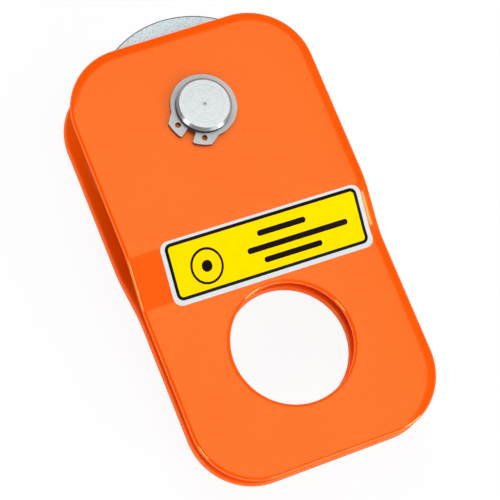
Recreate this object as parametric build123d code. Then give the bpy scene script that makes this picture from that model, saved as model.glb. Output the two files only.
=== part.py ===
from build123d import *
from math import cos, hypot, radians, sin, tan
import os

# Snatch block: two joggled side plates on one axle, with a grooved sheave between them.
# Millimetres. The origin is the shackle hole's centre, midway between the plates.
# +Z leaves the front plate, +Y runs up the block to the sheave, and +X runs across it.

# Side plates, pressed from flat steel
plate_width = 100.0
plate_thickness = 3.6
plate_corner_radius = 25.4
shackle_hole_diameter = 48.0
shackle_hole_to_tail_end = 22.1
axle_to_head_end = 33.4
outer_edge_radius = 1.2
inner_edge_chamfer = 0.4
axle_hole_edge = 0.3

# Joggle that brings the two plates together at the shackle end
tail_gap = 5.6
shackle_hole_to_joggle = 1.8
joggle_angle = 23.5
joggle_inside_radius = 20.0
joggle_to_sheave = 0.645

# Sheave and the plain bearing pressed into it
sheave_diameter = 83.4
sheave_rim_land = 1.28
sheave_edge_chamfer = 0.4
hub_wall = 7.45
hub_rise = 1.7
hub_edge_radius = 0.6
groove_depth = 10.2
groove_radius = 5.2
groove_flare_angle = 15.0
groove_lip_radius = 0.4
bushing_wall = 2.5
bushing_edge_chamfer = 0.4

# Thrust washers, one each side of the sheave's hub
washer_thickness = 1.5
washer_width = 7.9
washer_edge_chamfer = 0.2

# Axle pin and the ring that keeps the front plate on it
pin_diameter = 22.0
pin_end_chamfer = 1.1
pin_past_ring = 3.1
pin_head_overhang = 4.0
pin_head_height = 3.0
pin_head_edge_radius = 1.0
centre_mark_diameter = 1.6
centre_mark_depth = 0.5
ring_thickness = 1.2
ring_groove_depth = 0.5
ring_band_width = 2.5
ring_offset = 0.45
ring_gap_direction = -135.6
lug_rise = 3.1
lug_hole_diameter = 2.3
lug_hole_edge_distance = 2.8
lug_hole_angle = 26.0
lug_start_angle = 8.8
lug_end_angle = 36.0
lug_root_angle = 54.0
lug_corner_radius = 0.6

# Clearances
running_clearance = 0.05
side_clearance = 0.1
ring_clearance = 0.05
washer_bore_clearance = 0.1

# Radii and heights that follow from the sizes above
pin_radius = pin_diameter / 2
bushing_bore_radius = pin_radius + running_clearance
sheave_bore_radius = bushing_bore_radius + bushing_wall
rim_radius = sheave_diameter / 2
groove_root_radius = rim_radius - groove_depth
groove_flare = radians(groove_flare_angle)
flank_radius = groove_root_radius + groove_radius * (1 - sin(groove_flare))
flank_half = groove_radius * cos(groove_flare)
lip_half = flank_half + (rim_radius - flank_radius) * tan(groove_flare)
rim_half = lip_half + sheave_rim_land
hub_half = rim_half + hub_rise
chamber_half = hub_half + washer_thickness + 2 * side_clearance
plate_face_height = chamber_half + plate_thickness
tail_half = tail_gap / 2
ring_bottom = plate_face_height + ring_clearance
ring_groove_width = ring_thickness + 2 * ring_clearance
ring_seat_radius = pin_radius - ring_groove_depth
ring_outer_radius = ring_seat_radius + ring_clearance + ring_band_width
lug_root_radius = ring_outer_radius - ring_offset
lug_radius = lug_root_radius + lug_rise
pin_end_height = ring_bottom + ring_thickness + pin_past_ring

# Places along the plates, from the shackle hole up to the sheave
bend_reach = joggle_inside_radius * tan(radians(joggle_angle / 2))
bend_shift = plate_thickness * tan(radians(joggle_angle / 2))
joggle_run = (chamber_half - tail_half) / tan(radians(joggle_angle))
lower_bend_y = shackle_hole_diameter / 2 + shackle_hole_to_joggle + bend_reach + bend_shift
upper_bend_y = lower_bend_y + joggle_run
axle_y = upper_bend_y + bend_reach + joggle_to_sheave + rim_radius
head_end_y = axle_y + axle_to_head_end
tail_end_y = -shackle_hole_diameter / 2 - shackle_hole_to_tail_end
axle = Pos(0, axle_y, 0)


def polar(radius, angle):
    """A point at this radius and angle in degrees, for outlines drawn about the axle."""
    return (radius * cos(radians(angle)), radius * sin(radians(angle)))


def plate_section():
    """Side view of the front plate in the YZ plane: chamber, joggle and tail at one thickness."""
    outside_radius = joggle_inside_radius + plate_thickness
    inner = FilletPolyline(
        (tail_end_y, tail_half),
        (lower_bend_y, tail_half),
        (upper_bend_y, chamber_half),
        (head_end_y, chamber_half),
        radius=[outside_radius, joggle_inside_radius],
    )
    outer = FilletPolyline(
        (tail_end_y, tail_half + plate_thickness),
        (lower_bend_y - bend_shift, tail_half + plate_thickness),
        (upper_bend_y - bend_shift, plate_face_height),
        (head_end_y, plate_face_height),
        radius=[joggle_inside_radius, outside_radius],
    )
    tail = Line(inner @ 0, outer @ 0)
    head = Line(inner @ 1, outer @ 1)
    return Plane.YZ * make_face(inner.edges() + outer.edges() + tail.edges() + head.edges())


def plate_outline(axle_hole_diameter):
    """Front view of a plate: a rounded rectangle with the shackle hole and the axle hole."""
    length = head_end_y - tail_end_y
    blank = Pos(0, (head_end_y + tail_end_y) / 2) * RectangleRounded(plate_width, length, plate_corner_radius)
    shackle_hole = Circle(shackle_hole_diameter / 2)
    axle_hole = Pos(0, axle_y) * Circle(axle_hole_diameter / 2)
    return blank - shackle_hole - axle_hole


def rim_edges(plate, side):
    """Edges where the plate's skin on this side (+1 outer, -1 inner) meets its walls."""
    skin = plate.faces().filter_by(lambda face: face.normal_at().Z * side > 0.5)
    walls = plate.faces().filter_by(lambda face: abs(face.normal_at().Z) < 0.5)
    wall_edges = walls.edges()
    return skin.edges().filter_by(lambda edge: any(edge.is_same(other) for other in wall_edges))


def near_axle(edge):
    """Whether an edge belongs to the axle hole."""
    centre = edge.center(CenterOf.BOUNDING_BOX)
    return hypot(centre.X, centre.Y - axle_y) < pin_radius


def side_plate(axle_hole_diameter):
    """The front plate, pressed from one sheet: outer edges rounded, inner edges broken."""
    bent_sheet = extrude(plate_section(), plate_width / 2, both=True)
    cutter = extrude(plate_outline(axle_hole_diameter), plate_face_height)
    plate = bent_sheet & cutter
    plate = chamfer(plate.edges().filter_by(GeomType.CIRCLE).filter_by(near_axle), axle_hole_edge)
    plate = fillet(rim_edges(plate, 1).filter_by(near_axle, reverse=True), outer_edge_radius)
    return chamfer(rim_edges(plate, -1).filter_by(near_axle, reverse=True), inner_edge_chamfer)


def sheave():
    """Grooved wheel with a hub that stands proud of its rim on both sides."""
    hub_radius = sheave_bore_radius + hub_wall
    side = Polyline(
        (flank_radius, flank_half),
        (rim_radius, lip_half),
        (rim_radius, rim_half),
        (hub_radius, rim_half),
        (hub_radius, hub_half),
        (sheave_bore_radius, hub_half),
        (sheave_bore_radius, 0),
    )
    other_side = mirror(side, Plane.XZ)
    groove = ThreePointArc(side @ 0, (groove_root_radius, 0), other_side @ 0)
    section = make_face(side.edges() + other_side.edges() + groove.edges())
    wheel = revolve(Plane.XZ * section, Axis.Z)
    circles = wheel.edges().filter_by(GeomType.CIRCLE)
    rim_circles = circles.filter_by(lambda edge: abs(edge.radius - rim_radius) < 0.01)
    lips = rim_circles.filter_by(lambda edge: abs(edge.center().Z) < rim_half - 0.01)
    rims = rim_circles.filter_by(lambda edge: abs(edge.center().Z) > rim_half - 0.01)
    hubs = circles.filter_by(lambda edge: abs(edge.radius - hub_radius) < 0.01)
    wheel = chamfer(rims, sheave_edge_chamfer)
    wheel = fillet(lips, groove_lip_radius)
    hub_rims = hubs.filter_by(lambda edge: abs(edge.center().Z) > hub_half - 0.01)
    wheel = fillet(hub_rims, min(hub_edge_radius, hub_rise / 2))
    return axle * wheel


def sleeve(outer_radius, inner_radius, length, edge_chamfer):
    """A tube about the axle, midway between the plates, with its end edges broken."""
    tube = Cylinder(outer_radius, length) - Cylinder(inner_radius, length)
    return axle * chamfer(tube.edges().filter_by(GeomType.CIRCLE), edge_chamfer)


def sheave_bushing():
    """Plain bearing pressed into the sheave's bore, as long as the hub."""
    return sleeve(sheave_bore_radius, bushing_bore_radius, 2 * hub_half, bushing_edge_chamfer)


def thrust_washer():
    """Flat washer that runs between the sheave's hub and the front plate."""
    centre_height = chamber_half - side_clearance - washer_thickness / 2
    bore_radius = pin_radius + washer_bore_clearance
    washer = sleeve(bore_radius + washer_width, bore_radius, washer_thickness, washer_edge_chamfer)
    return Pos(0, 0, centre_height) * washer


def axle_pin():
    """Headed pin, grooved for the retaining ring, with a chamfered end and a centre mark."""
    head_top = -plate_face_height
    shank_length = pin_end_height - head_top
    shank = Pos(0, 0, head_top + shank_length / 2) * Cylinder(pin_radius, shank_length)
    shank = chamfer(shank.edges().sort_by(Axis.Z)[-1], pin_end_chamfer)
    head_radius = pin_radius + pin_head_overhang
    head = Pos(0, 0, head_top - pin_head_height / 2) * Cylinder(head_radius, pin_head_height)
    head = fillet(head.edges().sort_by(Axis.Z)[0], min(pin_head_edge_radius, pin_head_height / 2))
    ring_groove = Cylinder(pin_diameter, ring_groove_width) - Cylinder(ring_seat_radius, ring_groove_width)
    ring_groove = Pos(0, 0, plate_face_height + ring_groove_width / 2) * ring_groove
    centre_mark = Pos(0, 0, pin_end_height - centre_mark_depth / 2) * Cone(
        0, centre_mark_diameter / 2, centre_mark_depth
    )
    return axle * (shank + head - ring_groove - centre_mark)


def lug_outline(turn):
    """One lug of the retaining ring, on this side (+1 or -1) of its gap, as drawn with the gap down."""
    past = 1.2 * lug_radius
    corners = [
        (0, lug_start_angle),
        (past, lug_start_angle),
        (past, (lug_start_angle + lug_end_angle) / 2),
        (lug_radius, lug_end_angle),
        (lug_root_radius, lug_root_angle),
    ]
    points = [polar(radius, turn * angle) for radius, angle in corners]
    blank = Polygon(*points[::turn], align=None)
    return blank & Circle(lug_radius)


def lug_hole(turn):
    """The plier hole, which lies partly in the lug and partly in the ring's band."""
    hole_centre = polar(lug_radius - lug_hole_edge_distance, turn * lug_hole_angle)
    return Pos(*hole_centre) * Circle(lug_hole_diameter / 2)


def retaining_ring():
    """External circlip: an eccentric ring, open between two drilled lugs."""
    band = Pos(-ring_offset, 0) * Circle(ring_outer_radius)
    gap_sides = [polar(2 * lug_radius, -lug_start_angle), polar(2 * lug_radius, lug_start_angle)]
    gap = Polygon((0, 0), *gap_sides, align=None)
    bore = Circle(ring_seat_radius + ring_clearance)
    outline = band - gap + lug_outline(1) + lug_outline(-1) - bore - lug_hole(1) - lug_hole(-1)
    tips = outline.vertices().filter_by(lambda vertex: hypot(vertex.X, vertex.Y) > lug_radius - 0.01)
    outline = fillet(tips, min(lug_corner_radius, lug_rise / 4))
    ring = extrude(outline, ring_thickness)
    return axle * Pos(0, 0, ring_bottom) * Rot(0, 0, ring_gap_direction) * ring


running_hole_diameter = pin_diameter + 2 * running_clearance
front_washer = thrust_washer()
nodes = {
    "front_side_plate": side_plate(running_hole_diameter),
    "back_side_plate": mirror(side_plate(pin_diameter), Plane.XY),
    "sheave": sheave(),
    "sheave_bushing": sheave_bushing(),
    "front_thrust_washer": front_washer,
    "back_thrust_washer": mirror(front_washer, Plane.XY),
    "axle_pin": axle_pin(),
    "retaining_ring": retaining_ring(),
}

os.makedirs("parts", exist_ok=True)
for name, shape in nodes.items():
    shape.label = name
    export_step(shape, f"parts/{name}.step")
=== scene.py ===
"""Snatch block: joggled orange side plates, label, zinc plated axle, retaining ring and sheave."""
from math import asin, cos, hypot, inf, pi, radians, sin, sqrt, tan

import bpy
from mathutils import Matrix, Vector
from mathutils.geometry import delaunay_2d_cdt


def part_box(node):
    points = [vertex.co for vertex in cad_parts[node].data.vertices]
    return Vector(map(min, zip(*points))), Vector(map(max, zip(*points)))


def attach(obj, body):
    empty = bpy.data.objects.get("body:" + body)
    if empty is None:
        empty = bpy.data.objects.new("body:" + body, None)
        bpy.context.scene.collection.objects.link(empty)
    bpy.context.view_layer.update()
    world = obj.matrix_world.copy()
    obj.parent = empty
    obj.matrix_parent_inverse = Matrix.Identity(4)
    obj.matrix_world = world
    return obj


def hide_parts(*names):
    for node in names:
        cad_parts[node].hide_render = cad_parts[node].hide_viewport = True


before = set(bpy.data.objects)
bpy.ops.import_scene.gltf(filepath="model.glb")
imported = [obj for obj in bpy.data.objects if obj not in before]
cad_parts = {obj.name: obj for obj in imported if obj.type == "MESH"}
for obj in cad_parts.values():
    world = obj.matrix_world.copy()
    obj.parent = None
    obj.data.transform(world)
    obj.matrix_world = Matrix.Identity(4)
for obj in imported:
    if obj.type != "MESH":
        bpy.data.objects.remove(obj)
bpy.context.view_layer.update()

bl_info = {
    "name": "Snatch Block Builder",
    "version": (1, 0, 0),
    "blender": (4, 5, 0),
    "location": "View3D > Sidebar > Snatch Block",
    "description": "Dresses a snatch block: side plates, label, axle, retaining ring and sheave",
    "category": "Add Mesh",
}

MM = 0.001

# Boxes of the CAD parts, in metres. The block lies on the pin's head.
PLATE_LOW, PLATE_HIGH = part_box("front_side_plate")
SHEAVE_LOW, SHEAVE_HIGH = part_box("sheave")
AXLE_Y = (SHEAVE_LOW.y + SHEAVE_HIGH.y) / 2
FLOOR_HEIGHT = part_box("axle_pin")[0].z

# How finely the pressings are divided.
BEND_STEPS = 9
SLOPE_STEPS = 6
CORNER_STEPS = 22
SHACKLE_HOLE_STEPS = 112
AXLE_HOLE_STEPS = 64
OUTER_EDGE_STEPS = 6
INNER_EDGE_STEPS = 3
AXLE_EDGE_STEPS = 2
ROLLOVER_STEPS = 6
SIDE_PITCH = 8 * MM
LEAST_PITCH = 0.3 * MM

# The points inside a pressing's skin stand in rows across it, clear of its edges. The even rows
# stop short of the bends, which have rows of their own.
EVEN_ROWS = 20
POINTS_IN_ROW = 25
CLEAR_OF_EDGES = 1.2 * MM
CLEAR_OF_BENDS = 4 * MM

# The two skins of a pressing, by the way they face along Z on the front plate.
OUTER, INNER = 1, -1

# What delaunay_2d_cdt gives back: every triangle, or only those inside the given edges.
ALL_TRIANGLES, INSIDE_TRIANGLES = 0, 1

# Sockets of the Mix node when it mixes colours.
MIX_FRACTION, MIX_FIRST, MIX_SECOND, MIX_RESULT = 0, 6, 7, 2

# The image's width and the focal length in pixels, and the sensor's width in millimetres.
IMAGE_WIDTH = 500
FOCAL_PIXELS = 2109.288
SENSOR_WIDTH = 36.0


# Settings

def length(name, default, description, **more):
    """A length in metres, shown in the scene's unit."""
    more.setdefault("min", 0.0)
    return bpy.props.FloatProperty(
        name=name, description=description, default=default,
        subtype="DISTANCE", unit="LENGTH", precision=5, **more,
    )


def angle(name, default, description):
    """An angle, given here in degrees."""
    return bpy.props.FloatProperty(
        name=name, description=description, default=radians(default),
        subtype="ANGLE", unit="ROTATION",
    )


def factor(name, default, description):
    """A plain number between 0 and 1."""
    return bpy.props.FloatProperty(
        name=name, description=description, default=default, subtype="FACTOR", min=0.0, max=1.0
    )


def colour(name, default, description):
    """A linear RGB colour."""
    return bpy.props.FloatVectorProperty(
        name=name, description=description, default=default,
        subtype="COLOR", size=3, min=0.0, max=1.0,
    )


class SidePlateSettings(bpy.types.PropertyGroup):
    """Both side plates: outline, joggle, edges and paint."""

    corner_radius: length("Corner radius", 25.4 * MM, "Radius of the plate's four corners")
    shackle_hole_radius: length("Shackle hole radius", 24.0 * MM, "Radius of the large hole")
    axle_hole_radius: length("Axle hole radius", 11.05 * MM, "Radius of the hole round the axle")
    thickness: length("Thickness", 3.6 * MM, "Thickness of the pressed sheet")
    tail_skin_height: length("Tail height", 6.4 * MM, "Height of the skin at the shackle hole")
    joggle_start: length("Joggle start", 29.96 * MM, "Where the slope leaves the tail, along Y")
    joggle_angle: angle("Joggle angle", 23.5, "Slope of the joggle")
    inside_radius: length("Bend radius", 20.0 * MM, "Inside radius of both bends")
    edge_radius: length("Outer edge radius", 1.2 * MM, "Rounding of the outer edges")
    inner_edge_radius: length("Inner edge radius", 1.7 * MM, "Rounding of the inner edges")
    axle_edge_radius: length("Axle hole edge", 0.3 * MM, "Rounding of the axle hole's edges")
    rollover_depth: length(
        "Rollover depth", 0.28 * MM, "How far the skin is drawn down at its blanked edges"
    )
    rollover_width: length(
        "Rollover width", 4.2 * MM, "How far in from the outline the drawn-down band reaches"
    )
    hole_rollover_width: length(
        "Hole rollover width", 3.2 * MM, "The same band round the shackle hole"
    )
    paint: colour("Paint", (0.965, 0.092, 0.001), "Colour of the powder coat")
    paint_sheen: colour("Paint gloss", (1.0, 1.0, 0.33), "Tint of the powder coat's gloss")
    paint_roughness: factor("Paint roughness", 0.10, "Roughness of the powder coat")
    wall_roughness: factor(
        "Wall roughness", 0.5, "Roughness of the powder coat on the walls and inner edges"
    )


class LabelSettings(bpy.types.PropertyGroup):
    """The label across the front plate's joggle."""

    width: length("Width", 83.1 * MM, "Across the plate")
    height: length("Height", 23.85 * MM, "Along the plate")
    centre_x: length("Centre X", 4.45 * MM, "Middle of the label, across the plate", min=-1.0)
    centre_y: length(
        "Centre Y", 38.22 * MM, "Middle of the label, from the shackle hole's centre", min=-1.0
    )
    turn: angle("Turn", -1.3, "How far the label is turned on the plate")
    corner_radius: length("Corner radius", 3.5 * MM, "Radius of the label's corners")
    side_margin: length("Side margin", 1.7 * MM, "White border at the two ends")
    top_margin: length("Top margin", 1.05 * MM, "White border along the top")
    bottom_margin: length("Bottom margin", 1.85 * MM, "White border along the bottom")
    keyline: length("Keyline", 1.25 * MM, "Width of the black line round the yellow field")
    keyline_radius: length("Keyline radius", 2.6 * MM, "Radius of the black line's corners")
    film: length("Film thickness", 0.06 * MM, "Thickness of one layer of film")
    emblem_x: length(
        "Emblem X", -21.0 * MM, "Middle of the ring and dot, across the plate", min=-1.0
    )
    emblem_y: length(
        "Emblem Y", 38.2 * MM, "Middle of the ring and dot, from the shackle hole", min=-1.0
    )
    emblem_radius: length("Emblem radius", 6.6 * MM, "Outer radius of the ring")
    emblem_line: length("Emblem line", 0.9 * MM, "Width of the ring's line")
    border: colour("Border", (0.65, 0.69, 0.70), "Colour of the border")
    field: colour("Field", (1.0, 0.68, 0.0), "Colour of the field")
    ink: colour("Ink", (0.005, 0.003, 0.003), "Colour of the printed shapes")


class MetalSettings(bpy.types.PropertyGroup):
    """The bare and plated steel of the axle, ring and sheave, and the bearing's bronze."""

    zinc: colour("Zinc", (0.90, 0.99, 1.0), "Colour of the bright zinc plating")
    # Painted shade: the pin's chamfer is painted darker, for the dark surroundings it mirrors.
    pin_chamfer_shade: colour("Chamfer zinc", (0.36, 0.38, 0.39), "Colour of the pin's chamfer")
    # Painted shade: the pin's sides are painted dark, for the shadow in the ring's groove and
    # between its lugs.
    pin_side_shade: colour("Side zinc", (0.06, 0.062, 0.068), "Colour of the pin's sides")
    pin_face_radius: length("Pin face radius", 9.85 * MM, "Where the pin's bright end face stops")
    sheave_zinc: colour("Sheave zinc", (0.75, 0.922, 0.977), "Colour of the sheave's plating")
    # Painted shade: the sheave is painted dark in a band of this width round its rim, where its
    # edge shows dark.
    sheave_rim_shade: colour("Sheave edge", (0.09, 0.10, 0.11), "Colour of the sheave's turned edge")
    sheave_edge_width: length(
        "Sheave edge width", 0.4 * MM, "Width of the sheave's turned edge"
    )
    spring_steel: colour("Spring steel", (0.81, 0.83, 0.82), "Colour of the retaining ring")
    # Painted shade: the retaining ring's walls and edges, its lug holes too, are painted dark, as
    # in shadow.
    ring_wall_shade: colour(
        "Dark steel", (0.05, 0.05, 0.05), "Colour of the retaining ring's walls and edges"
    )
    bronze: colour("Bronze", (0.42, 0.22, 0.07), "Colour of the bearing")
    zinc_roughness: factor("Zinc roughness", 0.24, "Roughness of the turned faces")


class StageSettings(bpy.types.PropertyGroup):
    """Floor, lamps and camera."""

    floor_size: length("Floor size", 12.0, "Side of the square floor")
    floor: colour("Floor", (0.93, 0.93, 0.93), "Colour of the floor")
    floor_glow: factor(
        "Floor glow", 0.92, "How far the floor shows plain white to the eye, not its shadows"
    )
    world: colour("Surroundings", (1.0, 1.0, 1.0), "Colour of the surroundings")
    world_level: factor("Surroundings level", 0.06, "Brightness of the surroundings")
    focal_length: bpy.props.FloatProperty(
        name="Focal length", description="Lens of the camera, in millimetres",
        default=FOCAL_PIXELS * SENSOR_WIDTH / IMAGE_WIDTH,
    )
    camera_tilt: bpy.props.FloatVectorProperty(
        name="Object's turn",
        description="How the object is turned before the camera, about X, Y and Z",
        default=(-0.236241, 0.273071, 0.327406), subtype="EULER", unit="ROTATION", size=3,
    )
    camera_offset: bpy.props.FloatVectorProperty(
        name="Object's place", description="Where the axle stands before the camera",
        default=(-0.0208034, 0.0503955, -0.8289975),
        subtype="TRANSLATION", unit="LENGTH", size=3, precision=6,
    )


GROUPS = {
    "side_plates": SidePlateSettings,
    "label": LabelSettings,
    "metals": MetalSettings,
    "stage": StageSettings,
}


def settings(group):
    """The scene's settings of this group."""
    return getattr(bpy.context.scene, group)


# Materials

def shade(base, amount):
    """A colour made lighter or darker."""
    return tuple(min(1.0, channel * amount) for channel in base)


class Shader:
    """A node tree around one Principled shader, with helpers that add and link nodes."""

    def __init__(self, name, base, roughness, metallic=0.0, **sockets):
        self.material = bpy.data.materials.new(name)
        self.material.use_nodes = True
        self.tree = self.material.node_tree
        self.principled = self.tree.nodes["Principled BSDF"]
        self.set("Base Color", (*base, 1.0))
        self.set("Roughness", roughness)
        self.set("Metallic", metallic)
        for socket, value in sockets.items():
            self.set(socket.replace("_", " "), value)
        coordinates = self.tree.nodes.new("ShaderNodeTexCoord")
        self.place = coordinates.outputs["Object"]
        self.facing = coordinates.outputs["Normal"]

    def set(self, socket, value):
        """Sets one socket of the Principled shader."""
        self.principled.inputs[socket].default_value = value

    def link(self, output, socket):
        """Links an output to one socket of the Principled shader."""
        self.tree.links.new(output, self.principled.inputs[socket])

    def node(self, kind, inputs=(), **attributes):
        """A new node, with its attributes set and its inputs filled with values or links."""
        made = self.tree.nodes.new(kind)
        for attribute, value in attributes.items():
            setattr(made, attribute, value)
        for socket, value in dict(inputs).items():
            if isinstance(value, bpy.types.NodeSocket):
                self.tree.links.new(value, made.inputs[socket])
            else:
                made.inputs[socket].default_value = value
        return made

    def noise(self, scale, detail):
        """Noise with features about 1/scale metres across."""
        inputs = {"Vector": self.place, "Scale": scale, "Detail": detail}
        return self.node("ShaderNodeTexNoise", inputs).outputs["Fac"]

    def turned_rings(self, pitch):
        """Noise that varies only with the distance from the axle, as a lathe tool leaves it."""
        inputs = {
            "W": self.math("MULTIPLY", self.radius(), 1 / pitch),
            "Scale": 1.0,
            "Detail": 2.0,
        }
        return self.node("ShaderNodeTexNoise", inputs, noise_dimensions="1D").outputs["Fac"]

    def ramp(self, value, low, high, start=0.0, end=1.0):
        """Maps value from low..high to start..end, and holds it there."""
        inputs = {
            "Value": value, "From Min": low, "From Max": high, "To Min": start, "To Max": end
        }
        return self.node("ShaderNodeMapRange", inputs, clamp=True).outputs["Result"]

    def falling(self, value, low, high):
        """1 up to low, falling to 0 at high."""
        return self.ramp(value, low, high, start=1.0, end=0.0)

    def between(self, fraction, start, end):
        """A number between start and end."""
        return self.ramp(fraction, 0.0, 1.0, start, end)

    def mix(self, fraction, first, second):
        """A colour between two colours, each of them three numbers or a link."""
        first, second = (
            value if isinstance(value, bpy.types.NodeSocket) else (*value, 1.0)
            for value in (first, second)
        )
        inputs = {MIX_FRACTION: fraction, MIX_FIRST: first, MIX_SECOND: second}
        return self.node("ShaderNodeMix", inputs, data_type="RGBA").outputs[MIX_RESULT]

    def math(self, operation, *values):
        """The result of one sum on one or two values."""
        return self.node(
            "ShaderNodeMath", dict(enumerate(values)), operation=operation
        ).outputs["Value"]

    def vector_math(self, operation, *values):
        """A node that does one sum on one or two vectors."""
        return self.node("ShaderNodeVectorMath", dict(enumerate(values)), operation=operation)

    def bump(self, height, distance):
        """Raises the surface by height times distance, in metres."""
        raised = self.node("ShaderNodeBump", {"Height": height, "Distance": distance})
        self.link(raised.outputs["Normal"], "Normal")

    def radius(self):
        """Distance from the axle's line, in metres."""
        centred = self.vector_math("SUBTRACT", self.place, (0.0, AXLE_Y, 0.0)).outputs["Vector"]
        flat = self.vector_math("MULTIPLY", centred, (1.0, 1.0, 0.0)).outputs["Vector"]
        return self.vector_math("LENGTH", flat).outputs["Value"]

    def along_axle(self, vector):
        """The part of a place or a direction that lies along the axle."""
        return self.node("ShaderNodeSeparateXYZ", {"Vector": vector}).outputs["Z"]

    def flatness(self):
        """1 on faces that look along the axle, 0 on walls that stand upright."""
        return self.math("ABSOLUTE", self.along_axle(self.facing))

    def inward(self):
        """1 on faces that look towards the middle of the block, along the axle, 0 on others.

        A skin's height times the way it faces is below zero on those faces only.
        """
        outward = self.math(
            "MULTIPLY", self.along_axle(self.facing), self.along_axle(self.place)
        )
        return self.falling(outward, -0.8 * MM, 0.0)


def paint_material():
    """Glossy powder coat, duller on the blanked walls and on the edges inside the block."""
    plates = settings("side_plates")
    shader = Shader(
        "orange_powder_coat", plates.paint, plates.paint_roughness, Specular_IOR_Level=1.0
    )
    shader.set("Specular Tint", (*plates.paint_sheen, 1.0))
    drift = shader.ramp(shader.noise(scale=35.0, detail=3.0), low=0.3, high=0.7)
    tone = shader.mix(drift, shade(plates.paint, 0.975), shade(plates.paint, 1.02))
    shader.link(tone, "Base Color")

    flatness = shader.flatness()
    walls = shader.falling(flatness, low=0.15, high=0.7)
    roundings = shader.falling(flatness, low=0.8, high=0.9)
    inner_edges = shader.math("MULTIPLY", roundings, shader.inward())
    dull = shader.math("MAXIMUM", walls, inner_edges)
    roughness = shader.between(dull, plates.paint_roughness, plates.wall_roughness)
    shader.link(roughness, "Roughness")

    grazing = shader.node("ShaderNodeLayerWeight", {"Blend": 0.5}).outputs["Facing"]
    shader.link(shader.falling(grazing, low=0.5, high=0.78), "Specular IOR Level")
    shader.bump(shader.noise(scale=420.0, detail=3.0), distance=0.012 * MM)
    return shader.material


def zinc_material(name, base, roughness, face_radius=None, chamfer=None, sides=None):
    """Turned metal with rings and a fine mottle.

    Past face_radius on the front end, the chamfer and the sides can take colours of their own,
    which are painted shade: darker on the chamfer, for the dark surroundings it mirrors, and dark
    on the sides, for the shadow in the ring's groove and between its lugs.
    """
    metallic, duller_metallic = 0.7, 0.5
    shader = Shader(name, base, roughness, metallic)
    rings = shader.turned_rings(pitch=0.45 * MM)
    mottle = shader.ramp(shader.noise(scale=1250.0, detail=4.0), low=0.49, high=0.62)
    crests = shader.mix(mottle, shade(base, 1.1), shade(base, 0.97))
    grooves = shader.mix(mottle, shade(base, 0.82), shade(base, 0.68))
    tone = shader.mix(shader.ramp(rings, low=0.3, high=0.7), grooves, crests)
    if face_radius:
        front = shader.ramp(shader.along_axle(shader.place), low=0.0, high=1.0 * MM)
        past = shader.ramp(shader.radius(), low=face_radius, high=face_radius + 0.06 * MM)
        outside = shader.math("MULTIPLY", past, front)
        upright = shader.falling(shader.flatness(), low=0.2, high=0.5)
        # Painted shade: past the face, the chamfer and the upright sides are given their darker
        # colours.
        tone = shader.mix(outside, tone, shader.mix(upright, chamfer, sides))
        # Past the face the metal mirrors less, most of all at grazing angles.
        shader.link(shader.between(outside, metallic, duller_metallic), "Metallic")
        shader.link(shader.between(outside, 0.5, 0.0), "Specular IOR Level")
        shader.link(shader.mix(outside, (1.0, 1.0, 1.0), (0.1, 0.1, 0.1)), "Specular Tint")
    shader.link(tone, "Base Color")
    shader.bump(rings, distance=0.003 * MM)
    return shader.material


def speckled_zinc_material():
    """Plating with a fine dark speckle, and painted shade: a dark band at the sheave's rim, where
    its edge shows dark.
    """
    metals = settings("metals")
    base = metals.sheave_zinc
    shader = Shader("speckled_zinc", base, roughness=0.38, metallic=0.12)
    grain = shader.noise(scale=1500.0, detail=4.0)
    cloud = shader.ramp(shader.noise(scale=160.0, detail=3.0), low=0.3, high=0.7)
    plated = shader.mix(cloud, shade(base, 0.96), shade(base, 1.04))
    tone = shader.mix(shader.ramp(grain, low=0.34, high=0.44), shade(base, 0.5), plated)
    rim = (SHEAVE_HIGH.x - SHEAVE_LOW.x) / 2 - metals.sheave_edge_width
    half_step = 0.05 * MM
    # Painted shade: past rim the sheave takes the dark rim colour.
    edge = shader.ramp(shader.radius(), low=rim - half_step, high=rim + half_step)
    shader.link(shader.mix(edge, tone, metals.sheave_rim_shade), "Base Color")
    shader.link(shader.ramp(grain, low=0.3, high=0.7, start=0.50, end=0.32), "Roughness")
    shader.bump(grain, distance=0.02 * MM)
    return shader.material


def spring_steel_material():
    """Satin steel, with painted shade: its upright walls and edges are painted dark, as in shadow.
    """
    metals = settings("metals")
    base = metals.spring_steel
    shader = Shader("satin_spring_steel", base, roughness=0.42, metallic=0.6)
    grain = shader.noise(scale=900.0, detail=4.0)
    faces = shader.mix(
        shader.ramp(grain, low=0.3, high=0.7), shade(base, 0.9), shade(base, 1.06)
    )
    # Painted shade: faces that stand upright take the dark colour.
    flat = shader.ramp(shader.flatness(), low=0.3, high=0.95)
    shader.link(shader.mix(flat, metals.ring_wall_shade, faces), "Base Color")
    shader.link(shader.ramp(grain, low=0.3, high=0.7, start=0.36, end=0.50), "Roughness")
    shader.bump(grain, distance=0.008 * MM)
    return shader.material


def film_material(name, base, sheen=(1.0, 1.0, 1.0)):
    """Printed film. sheen tints its gloss."""
    shader = Shader(name, base, roughness=0.2, Specular_IOR_Level=0.2)
    shader.set("Specular Tint", (*sheen, 1.0))
    drift = shader.ramp(shader.noise(scale=220.0, detail=3.0), low=0.3, high=0.7)
    shader.link(shader.mix(drift, shade(base, 0.98), shade(base, 1.015)), "Base Color")
    shader.bump(shader.noise(scale=500.0, detail=2.0), distance=0.006 * MM)
    return shader.material


# Meshes

def new_object(name, points, faces, material, normals=None):
    """A piece from points in metres, smooth all over, with its own normals where given."""
    mesh = bpy.data.meshes.new(name)
    mesh.from_pydata(points, [], faces)
    mesh.materials.append(material)
    mesh.polygons.foreach_set("use_smooth", [True] * len(faces))
    mesh.update()
    if normals:
        mesh.normals_split_custom_set_from_vertices(normals)
    made = bpy.data.objects.new(name, mesh)
    bpy.context.scene.collection.objects.link(made)
    return made


def closed_edges(count, first=0):
    """The edges of a closed ring of points that are numbered from first."""
    return [(first + i, first + (i + 1) % count) for i in range(count)]


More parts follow.
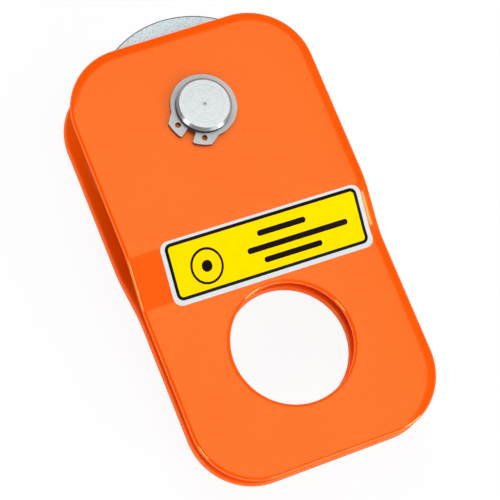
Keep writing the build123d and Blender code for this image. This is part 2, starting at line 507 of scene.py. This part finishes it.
class Joggle:
    """Height and slope of a skin along Y: flat tail, bend, slope, bend, flat chamber.

    depth is how far the skin lies below the plate's outer one.
    """

    def __init__(self, depth=0.0):
        plates = settings("side_plates")
        self.low = plates.tail_skin_height - depth
        self.high = PLATE_HIGH.z - depth
        self.slope = tan(plates.joggle_angle)
        self.low_radius = plates.inside_radius + depth
        self.high_radius = plates.inside_radius + plates.thickness - depth
        reach = tan(plates.joggle_angle / 2)
        self.start = plates.joggle_start + depth * reach
        end = self.start + (self.high - self.low) / self.slope
        self.bends = (
            self.start - self.low_radius * reach,
            self.start + self.low_radius * reach * cos(plates.joggle_angle),
            end - self.high_radius * reach * cos(plates.joggle_angle),
            end + self.high_radius * reach,
        )

    def height(self, y):
        """Height of the skin at y, on the front plate."""
        first, second, third, fourth = self.bends
        if y <= first:
            return self.low
        if y < second:
            radius = self.low_radius
            return self.low + radius - sqrt(radius ** 2 - (y - first) ** 2)
        if y <= third:
            return self.low + (y - self.start) * self.slope
        if y < fourth:
            radius = self.high_radius
            return self.high - radius + sqrt(radius ** 2 - (fourth - y) ** 2)
        return self.high

    def rise(self, y):
        """Slope of the skin at y."""
        first, second, third, fourth = self.bends
        if y <= first or y >= fourth:
            return 0.0
        if y < second:
            return tan(asin((y - first) / self.low_radius))
        if y > third:
            return tan(asin((fourth - y) / self.high_radius))
        return self.slope

    def rows(self):
        """Values of y that follow the bends closely."""
        first, second, third, fourth = self.bends
        found = []
        for low, high in ((first, second), (third, fourth)):
            found += [low + (high - low) * step / BEND_STEPS for step in range(BEND_STEPS + 1)]
        found += [
            second + (third - second) * step / SLOPE_STEPS for step in range(1, SLOPE_STEPS)
        ]
        return sorted(found)


def rounded_outline(low, high, radius, rows=(), corner_steps=CORNER_STEPS, pitch=SIDE_PITCH):
    """Points of a rounded rectangle, counterclockwise, each with its inward direction.

    Its sides have points at about this pitch, and where they cross the rows.
    """
    found = []
    (low_x, low_y), (high_x, high_y) = low, high
    near_end = 0.001

    def side(start, end, inward):
        span = [end[i] - start[i] for i in (0, 1)]
        reach = hypot(*span)
        steps = max(1, round(reach / pitch))
        shares = {step / steps for step in range(1, steps)}
        if span[1]:
            crossings = ((y - start[1]) / span[1] for y in rows)
            shares |= {share for share in crossings if near_end < share < 1 - near_end}
        kept = []
        for share in sorted(shares):
            if not kept or (share - kept[-1]) * reach > LEAST_PITCH:
                kept.append(share)
        found.extend(((start[0] + span[0] * t, start[1] + span[1] * t), inward) for t in kept)

    def corner(x, y, turn):
        for step in range(corner_steps + 1):
            a = turn + pi / 2 * step / corner_steps
            found.append(((x + radius * cos(a), y + radius * sin(a)), (-cos(a), -sin(a))))

    corner(low_x + radius, low_y + radius, pi)
    side((low_x + radius, low_y), (high_x - radius, low_y), (0.0, 1.0))
    corner(high_x - radius, low_y + radius, -pi / 2)
    side((high_x, low_y + radius), (high_x, high_y - radius), (-1.0, 0.0))
    corner(high_x - radius, high_y - radius, 0.0)
    side((high_x - radius, high_y), (low_x + radius, high_y), (0.0, -1.0))
    corner(low_x + radius, high_y - radius, pi / 2)
    side((low_x, high_y - radius), (low_x, low_y + radius), (1.0, 0.0))
    return found


def hole_outline(middle_y, radius, steps):
    """Points of a round hole, clockwise, each with the direction into the plate."""
    turns = [-2 * pi * step / steps for step in range(steps)]
    return [((radius * cos(a), middle_y + radius * sin(a)), (cos(a), sin(a))) for a in turns]


def edge_levels(radius, steps, rollover_depth=0.0, rollover_width=0.0):
    """How a skin falls towards an edge, over its rounding and the drawn-down band inside it.

    Each ring of points has its distance in from the edge, its drop, and the slope of the drop,
    which is None at the edge itself, where the skin stands upright.
    """
    def rolled(s):
        if s >= rollover_width:
            return 0.0, 0.0
        left = 1 - s / rollover_width
        return rollover_depth * left ** 2, -2 * rollover_depth / rollover_width * left

    levels = []
    for step in range(steps + 1):
        a = pi / 2 * step / steps
        s = radius * (1 - cos(a))
        drop, slope = rolled(s)
        levels.append((s, drop + radius * (1 - sin(a)), slope - cos(a) / sin(a) if step else None))
    if rollover_width > radius:
        for step in range(1, ROLLOVER_STEPS + 1):
            s = radius + (rollover_width - radius) * step / ROLLOVER_STEPS
            levels.append((s, *rolled(s)))
    return levels


class PlateEdge:
    """An edge of a plate: its outline, and how the outer and the inner skin fall towards it.

    depth(x, y) is how far a point of the plate lies in from it.
    """

    def __init__(self, outline, outer_levels, inner_levels, depth):
        self.outline = outline
        self.levels = {OUTER: outer_levels, INNER: inner_levels}
        self.depth = depth


class Pressing:
    """The points, faces and normals of one pressed plate.

    side is +1 for the front plate, and -1 for the back plate, which is its mirror image.
    """

    def __init__(self, side):
        self.side = side
        self.points, self.normals, self.faces = [], [], []
        plates = settings("side_plates")
        outer, inner = Joggle(), Joggle(plates.thickness)
        self.edges = self.plate_edges(plates, sorted(set(outer.rows() + inner.rows())))
        tops = self.skin(outer, OUTER)
        bottoms = self.skin(inner, INNER)
        for top, bottom in zip(tops, bottoms):
            self.band(bottom, top, OUTER)
        if side < 0:
            self.faces = [face[::-1] for face in self.faces]

    @staticmethod
    def plate_edges(plates, rows):
        """The plate's outline and its two holes."""
        broken = edge_levels(plates.inner_edge_radius, INNER_EDGE_STEPS)
        axle_edge = edge_levels(plates.axle_edge_radius, AXLE_EDGE_STEPS)
        rolled, hole_rolled = (
            edge_levels(plates.edge_radius, OUTER_EDGE_STEPS, plates.rollover_depth, width)
            for width in (plates.rollover_width, plates.hole_rollover_width)
        )

        def inside_outline(x, y):
            radius = plates.corner_radius
            half_x, half_y = (PLATE_HIGH.x - PLATE_LOW.x) / 2, (PLATE_HIGH.y - PLATE_LOW.y) / 2
            over_x = abs(x - (PLATE_HIGH.x + PLATE_LOW.x) / 2) - half_x + radius
            over_y = abs(y - (PLATE_HIGH.y + PLATE_LOW.y) / 2) - half_y + radius
            if over_x > 0 and over_y > 0:
                return radius - hypot(over_x, over_y)
            return radius - max(over_x, over_y)

        outline = rounded_outline(PLATE_LOW.xy, PLATE_HIGH.xy, plates.corner_radius, rows)
        shackle_radius, axle_radius = plates.shackle_hole_radius, plates.axle_hole_radius
        return (
            PlateEdge(outline, rolled, broken, inside_outline),
            PlateEdge(
                hole_outline(0.0, shackle_radius, SHACKLE_HOLE_STEPS), hole_rolled, broken,
                lambda x, y: hypot(x, y) - shackle_radius,
            ),
            PlateEdge(
                hole_outline(AXLE_Y, axle_radius, AXLE_HOLE_STEPS), axle_edge, axle_edge,
                lambda x, y: hypot(x, y - AXLE_Y) - axle_radius,
            ),
        )

    def add(self, x, y, z, normal):
        """Adds a point of the front plate, or its mirror image, and gives its number."""
        self.points.append((x, y, z * self.side))
        self.normals.append(Vector((normal[0], normal[1], normal[2] * self.side)).normalized())
        return len(self.points) - 1

    def band(self, low, high, facing):
        """Adds the faces between two rings of points."""
        for i, j in closed_edges(len(low)):
            quad = (low[i], low[j], high[j], high[i])
            self.faces.append(quad if facing == OUTER else quad[::-1])

    def skin(self, joggle, facing):
        """Adds one skin, in rings from each edge and triangles between the innermost rings.

        Gives the ring at each edge itself.
        """
        outermost, innermost = [], []
        for edge in self.edges:
            rings = [
                [self.edge_point(joggle, facing, point, level) for point in edge.outline]
                for level in edge.levels[facing]
            ]
            for low, high in zip(rings, rings[1:]):
                self.band(low, high, facing)
            outermost.append(rings[0])
            innermost.append(rings[-1])
        self.fill(innermost, joggle, facing)
        return outermost

    def edge_point(self, joggle, facing, point, level):
        """Adds the point of a skin that lies this level in from a point of an outline."""
        (x, y), (in_x, in_y) = point
        s, drop, slope = level
        x, y = x + in_x * s, y + in_y * s
        if slope is None:
            normal = (-in_x, -in_y, 0.0)
        else:
            normal = (slope * in_x, slope * in_y - facing * joggle.rise(y), facing)
        return self.add(x, y, joggle.height(y) - facing * drop, normal)

    def fill(self, rings, joggle, facing):
        """Adds triangles between the innermost rings, over rows of points."""
        known = [i for ring in rings for i in ring]
        edges = []
        for ring in rings:
            edges += closed_edges(len(ring), len(edges))
        for x, y in self.inner_points(joggle, facing):
            normal = (0.0, -joggle.rise(y) * facing, facing)
            known.append(self.add(x, y, joggle.height(y), normal))
        flat = [Vector(self.points[i][:2]) for i in known]
        merge_distance = 1e-7
        found = delaunay_2d_cdt(flat, edges, [], ALL_TRIANGLES, merge_distance)
        places, triangles, sources = found[0], found[2], found[3]
        for triangle in triangles:
            x = sum(places[i].x for i in triangle) / 3
            y = sum(places[i].y for i in triangle) / 3
            if self.clear(x, y, facing, 0.0):
                face = tuple(known[sources[i][0]] for i in triangle)
                self.faces.append(face if facing == OUTER else face[::-1])

    def inner_points(self, joggle, facing):
        """Places for the points inside a skin, in rows that follow the bends."""
        def spread(low, high, count):
            return [low + (high - low) * (step + 0.5) / count for step in range(count)]

        bends_low, bends_high = joggle.bends[0] - CLEAR_OF_BENDS, joggle.bends[3] + CLEAR_OF_BENDS
        even = spread(PLATE_LOW.y, PLATE_HIGH.y, EVEN_ROWS)
        rows = joggle.rows() + [y for y in even if not bends_low < y < bends_high]
        columns = spread(PLATE_LOW.x, PLATE_HIGH.x, POINTS_IN_ROW)
        return [
            (x, y) for y in sorted(rows) for x in columns
            if self.clear(x, y, facing, CLEAR_OF_EDGES)
        ]

    def clear(self, x, y, facing, gap):
        """Whether a place lies further in than the rings of every edge, by this gap."""
        return all(
            edge.depth(x, y) - edge.levels[facing][-1][0] > gap for edge in self.edges
        )


def inside_loop(point, loop):
    """Whether a point is inside a closed loop."""
    inside = False
    for (ax, ay), (bx, by) in zip(loop, loop[1:] + loop[:1]):
        if (ay > point[1]) != (by > point[1]):
            if point[0] < ax + (point[1] - ay) / (by - ay) * (bx - ax):
                inside = not inside
    return inside


def rounded_loop(low, high, radius):
    """The closed loop of a rounded rectangle, on the flat label."""
    outline = rounded_outline(low, high, radius, corner_steps=8, pitch=inf)
    return [point for point, _ in outline]


def round_loop(radius, steps=48):
    """The closed loop of a circle, on the flat label."""
    turns = [2 * pi * step / steps for step in range(steps)]
    return [(radius * cos(a), radius * sin(a)) for a in turns]


def film_piece(name, outline, bottom, top, material, turn, centre):
    """A thin printed layer that follows the front plate's skin, between two heights over it.

    outline is a closed loop on the flat label. It is turned, and laid with its zero at centre.
    """
    loop_step, pitch = 1.2 * MM, 1.6 * MM
    clear_of_loop = pitch * 0.45
    loop = []
    for (ax, ay), (bx, by) in zip(outline, outline[1:] + outline[:1]):
        cuts = max(1, int(hypot(bx - ax, by - ay) / loop_step))
        loop += [(ax + (bx - ax) * i / cuts, ay + (by - ay) * i / cuts) for i in range(cuts)]
    xs, ys = [p[0] for p in loop], [p[1] for p in loop]
    grid = []
    for i in range(int((max(xs) - min(xs)) / pitch) + 1):
        for j in range(int((max(ys) - min(ys)) / pitch) + 1):
            p = (min(xs) + pitch * (i + 0.5), min(ys) + pitch * (j + 0.5))
            gap = min(hypot(p[0] - q[0], p[1] - q[1]) for q in loop)
            if gap > clear_of_loop and inside_loop(p, loop):
                grid.append(p)
    edges = closed_edges(len(loop))
    flat = [Vector(p) for p in loop + grid]
    merge_distance = 1e-8
    found = delaunay_2d_cdt(flat, edges, [], INSIDE_TRIANGLES, merge_distance)
    places, triangles, sources = found[0], found[2], found[3]

    joggle = Joggle()
    points, normals = [], []
    for height in (top, bottom):
        for p in places:
            x = centre[0] + p.x * cos(turn) - p.y * sin(turn)
            y = centre[1] + p.x * sin(turn) + p.y * cos(turn)
            up = Vector((0.0, -joggle.rise(y), 1.0)).normalized()
            points.append(Vector((x, y, joggle.height(y))) + up * height)
            normals.append(up)

    below = len(places)
    faces = [tuple(face) for face in triangles]
    faces += [tuple(i + below for i in reversed(face)) for face in triangles]
    number = {old: new for new, olds in enumerate(sources) for old in olds}
    for a, b in edges:
        a, b = number[a], number[b]
        faces.append((a, a + below, b + below, b))
    return new_object(name, points, faces, material, normals)


def dress(node, material):
    """Gives a CAD node this material."""
    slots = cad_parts[node].data.materials
    slots.clear()
    slots.append(material)


# Operators

class SNATCH_OT_side_plates(bpy.types.Operator):
    """Build the two painted side plates"""

    bl_idname = "snatch.side_plates"
    bl_label = "Side Plates"

    def execute(self, context):
        paint = paint_material()
        for name, node, body, side in (
            ("front_plate_pressing", "front_side_plate", "front_plate", 1),
            ("back_plate_pressing", "back_side_plate", "back_frame", -1),
        ):
            pressing = Pressing(side)
            plate = new_object(name, pressing.points, pressing.faces, paint, pressing.normals)
            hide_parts(node)
            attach(plate, body)
        return {"FINISHED"}


class SNATCH_OT_label(bpy.types.Operator):
    """Lay the label over the front plate's joggle"""

    bl_idname = "snatch.label"
    bl_label = "Label"

    # Low X, high X and middle Y of each bar, and half its width, in millimetres on the plate.
    BARS = ((1.4, 21.6, 43.2), (-4.1, 37.9, 38.0), (1.6, 25.9, 33.4))
    HALF_BAR = 1.05

    # A bar's ends are just short of full rounds, and the emblem's dot is this share of its ring.
    BAR_END = 0.98
    DOT = 0.32

    def execute(self, context):
        label = settings("label")
        self.white = film_material("white_film", label.border)
        self.yellow = film_material("yellow_film", label.field, tuple(label.field))
        self.black = film_material("black_ink", label.ink)
        self.ground(label)
        self.emblem(label)
        self.bars(label)
        return {"FINISHED"}

    def lay(self, name, loop, layer, material, slot, centre):
        """Lays one film on the front plate, half its thickness above the layer under it."""
        label = settings("label")
        bottom = layer * label.film / 2
        piece = film_piece(name, loop, bottom, bottom + label.film, material, label.turn, centre)
        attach(piece, "front_plate")

    def ground(self, label):
        """The white border, the black keyline and the yellow field."""
        half = (label.width / 2, label.height / 2)
        key_low = (-half[0] + label.side_margin, -half[1] + label.bottom_margin)
        key_high = (half[0] - label.side_margin, half[1] - label.top_margin)
        field_low = tuple(v + label.keyline for v in key_low)
        field_high = tuple(v - label.keyline for v in key_high)
        field_radius = max(label.keyline_radius - label.keyline, 0.6 * MM)
        border = rounded_loop((-half[0], -half[1]), half, label.corner_radius)
        keyline = rounded_loop(key_low, key_high, label.keyline_radius)
        field = rounded_loop(field_low, field_high, field_radius)
        centre = (label.centre_x, label.centre_y)
        self.lay("label_border", border, 0, self.white, "label_white", centre)
        self.lay("label_keyline", keyline, 1, self.black, "label_black", centre)
        self.lay("label_field", field, 2, self.yellow, "label_yellow", centre)

    def emblem(self, label):
        """A plain ring with a dot in it, at the label's left end."""
        centre = (label.emblem_x, label.emblem_y)
        ring = round_loop(label.emblem_radius)
        inside = round_loop(label.emblem_radius - label.emblem_line)
        dot = round_loop(label.emblem_radius * self.DOT)
        self.lay("label_emblem_ring", ring, 3, self.black, "label_black", centre)
        self.lay("label_emblem_inside", inside, 4, self.yellow, "label_yellow", centre)
        self.lay("label_emblem_dot", dot, 5, self.black, "label_black", centre)

    def bars(self, label):
        """Three plain bars, at the label's right end."""
        centre = (label.centre_x, label.centre_y)
        half_bar = self.HALF_BAR * MM
        for number, (low_x, high_x, y) in enumerate(self.BARS, 1):
            low = (low_x * MM - centre[0], y * MM - centre[1] - half_bar)
            high = (high_x * MM - centre[0], y * MM - centre[1] + half_bar)
            loop = rounded_loop(low, high, half_bar * self.BAR_END)
            self.lay(f"label_bar_{number}", loop, 3, self.black, "label_black", centre)


class SNATCH_OT_axle_pin(bpy.types.Operator):
    """Finish the axle pin in turned, zinc plated steel"""

    bl_idname = "snatch.axle_pin"
    bl_label = "Axle Pin"

    def execute(self, context):
        metals = settings("metals")
        pin_zinc = zinc_material(
            "turned_zinc", metals.zinc, metals.zinc_roughness,
            metals.pin_face_radius, metals.pin_chamfer_shade, metals.pin_side_shade,
        )
        dress("axle_pin", pin_zinc)
        return {"FINISHED"}


class SNATCH_OT_retaining_ring(bpy.types.Operator):
    """Finish the retaining ring in satin spring steel"""

    bl_idname = "snatch.retaining_ring"
    bl_label = "Retaining Ring"

    def execute(self, context):
        dress("retaining_ring", spring_steel_material())
        return {"FINISHED"}


class SNATCH_OT_sheave(bpy.types.Operator):
    """Finish the sheave, its bushing and the two thrust washers"""

    bl_idname = "snatch.sheave"
    bl_label = "Sheave and Bearing"

    def execute(self, context):
        metals = settings("metals")
        dress("sheave", speckled_zinc_material())
        washer_zinc = zinc_material("washer_zinc", metals.zinc, roughness=0.34)
        dress("front_thrust_washer", washer_zinc)
        dress("back_thrust_washer", washer_zinc)
        dress("sheave_bushing", zinc_material("bearing_bronze", metals.bronze, roughness=0.36))
        return {"FINISHED"}


class SNATCH_OT_stage(bpy.types.Operator):
    """Set the floor, the lamps, the surroundings and the camera"""

    bl_idname = "snatch.stage"
    bl_label = "Stage"

    # Name, place, width and length, brightness of its face where 1 is white, shown in gloss.
    LAMPS = (
        ("overhead_panel", (0.18, 0.18, 1.0), (0.46, 0.64), 1.05, True),
        ("slope_panel", (0.30, -0.43, 1.0), (0.80, 0.58), 0.20, True),
        ("corner_lamp", (0.535, -0.61, 0.99), (0.06, 0.12), 9.0, True),
        ("left_strip", (-1.16, -0.27, 0.42), (0.38, 0.46), 8.5, True),
        ("front_strip", (0.74, -0.95, 0.40), (0.38, 0.80), 8.0, True),
        ("low_front_panel", (0.30, -1.15, 0.25), (0.45, 0.50), 2.6, True),
        ("overhead_fill", (0.20, 0.05, 1.10), (0.6, 0.8), 0.8, False),
        ("left_fill", (-1.45, 0.04, 0.12), (0.9, 0.3), 7.0, False),
        ("right_fill", (1.30, 0.04, 0.75), (0.9, 0.8), 3.8, False),
        ("front_fill", (0.0, -1.26, 0.75), (0.9, 0.8), 3.0, False),
        ("back_fill", (0.0, 1.20, 0.89), (0.9, 0.8), 5.4, False),
    )

    # Lamps that hang lower than this are turned to the block. The others look straight down.
    OVERHEAD = 0.9

    def execute(self, context):
        stage = settings("stage")
        scene = context.scene
        scene.view_settings.view_transform = "Standard"
        self.floor(stage)
        self.surroundings(scene, stage)
        for lamp in self.LAMPS:
            self.softbox(scene, *lamp)
        self.camera(scene, stage)
        return {"FINISHED"}

    def floor(self, stage):
        """A pale floor that shows almost white to the eye and in gloss, and keeps its shadows."""
        shader = Shader("pale_floor", stage.floor, roughness=0.9, Specular_IOR_Level=0.0)
        rays = shader.node("ShaderNodeLightPath").outputs
        seen = shader.math("MAXIMUM", rays["Is Camera Ray"], rays["Is Glossy Ray"])
        seen = shader.math("MAXIMUM", seen, rays["Is Transmission Ray"])
        glow = shader.node("ShaderNodeEmission", {"Color": (1.0, 1.0, 1.0, 1.0), "Strength": 1.0})
        surface = shader.node("ShaderNodeMixShader", {
            0: shader.between(seen, 0.0, stage.floor_glow),
            1: shader.principled.outputs["BSDF"],
            2: glow.outputs["Emission"],
        })
        output = shader.tree.nodes["Material Output"]
        shader.tree.links.new(surface.outputs["Shader"], output.inputs["Surface"])

        half = stage.floor_size / 2
        corners = [(-half, -half), (half, -half), (half, half), (-half, half)]
        points = [(x, y, FLOOR_HEIGHT) for x, y in corners]
        floor = new_object("floor", points, [(0, 1, 2, 3)], shader.material)

    def surroundings(self, scene, stage):
        """A faint even light from all round."""
        world = bpy.data.worlds.new("surroundings")
        world.use_nodes = True
        background = world.node_tree.nodes["Background"]
        background.inputs["Color"].default_value = (*stage.world, 1.0)
        background.inputs["Strength"].default_value = stage.world_level
        scene.world = world

    def softbox(self, scene, name, place, size, level, in_gloss):
        """A rectangular lamp whose face has this brightness. Fills don't show in gloss."""
        lamp = bpy.data.lights.new(name, "AREA")
        lamp.shape = "RECTANGLE"
        lamp.size, lamp.size_y = size
        lamp.energy = level * pi * size[0] * size[1]
        made = bpy.data.objects.new(name, lamp)
        made.location = place
        made.visible_glossy = in_gloss
        if place[2] < self.OVERHEAD:
            aim = Vector((0.0, AXLE_Y / 2, 0.0)) - Vector(place)
            made.rotation_euler = aim.to_track_quat("-Z", "Y").to_euler()
        scene.collection.objects.link(made)

    def camera(self, scene, stage):
        """The camera, placed by how the block is turned and where it stands before it."""
        lens = bpy.data.cameras.new("camera")
        lens.sensor_width = SENSOR_WIDTH
        lens.lens = stage.focal_length
        lens.clip_start, lens.clip_end = 0.05, 20.0
        turn_x, turn_y, turn_z = (
            Matrix.Rotation(turn, 4, axis) for turn, axis in zip(stage.camera_tilt, "XYZ")
        )
        offset = Matrix.Translation(Vector(stage.camera_offset))
        centred = Matrix.Translation((0, -AXLE_Y, 0))
        made = bpy.data.objects.new("camera", lens)
        made.matrix_world = (offset @ (turn_z @ turn_y @ turn_x) @ centred).inverted()
        scene.collection.objects.link(made)
        scene.camera = made


OPERATORS = (
    SNATCH_OT_side_plates,
    SNATCH_OT_label,
    SNATCH_OT_axle_pin,
    SNATCH_OT_retaining_ring,
    SNATCH_OT_sheave,
    SNATCH_OT_stage,
)


class SNATCH_PT_builder(bpy.types.Panel):
    """Lists the settings and the operators that use them"""

    bl_idname = "SNATCH_PT_builder"
    bl_label = "Snatch Block"
    bl_space_type = "VIEW_3D"
    bl_region_type = "UI"
    bl_category = "Snatch Block"

    def draw(self, context):
        for name, group in GROUPS.items():
            column = self.layout.box().column()
            column.label(text=name.replace("_", " ").capitalize())
            for prop in group.__annotations__:
                column.prop(getattr(context.scene, name), prop)
        for operator in OPERATORS:
            self.layout.operator(operator.bl_idname)


CLASSES = (*GROUPS.values(), *OPERATORS, SNATCH_PT_builder)


def register():
    """Adds the classes, and their settings to the scene."""
    for group in CLASSES:
        bpy.utils.register_class(group)
    for name, group in GROUPS.items():
        setattr(bpy.types.Scene, name, bpy.props.PointerProperty(type=group))


def unregister():
    """Takes the settings and the classes away again."""
    for name in GROUPS:
        delattr(bpy.types.Scene, name)
    for group in reversed(CLASSES):
        bpy.utils.unregister_class(group)


def main():
    """Builds the dressed block."""
    register()
    bpy.ops.snatch.side_plates()
    bpy.ops.snatch.label()
    bpy.ops.snatch.axle_pin()
    bpy.ops.snatch.retaining_ring()
    bpy.ops.snatch.sheave()
    bpy.ops.snatch.stage()
    bpy.context.view_layer.update()


if __name__ == "__main__":
    main()
